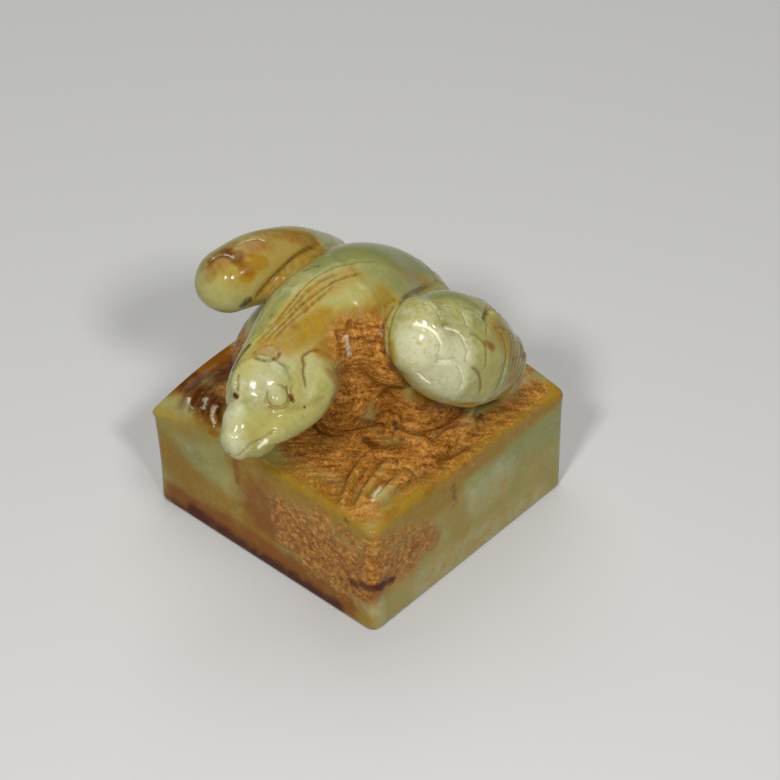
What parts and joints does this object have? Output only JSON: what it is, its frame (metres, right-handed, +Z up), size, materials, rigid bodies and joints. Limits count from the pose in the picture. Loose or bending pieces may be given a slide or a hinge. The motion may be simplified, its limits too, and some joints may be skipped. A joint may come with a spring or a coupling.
{
  "type": "jade seal stamp",
  "caption": "Square seal stamp carved from one stone, with a crouching bird as its grip, its head craned out over the front edge.",
  "frame": {"origin": "centre of the flat seal face, the block's underside", "axes": "+Z up, square to the seal face; the bird looks towards -Y; +X is the bird's left"},
  "size_m": [0.0619, 0.0765, 0.0664],
  "materials": {
    "jade": "polished celadon nephrite with russet skin"
  },
  "bodies": {
    "root": {"jade_seal": "jade"}
  },
  "joints": []
}
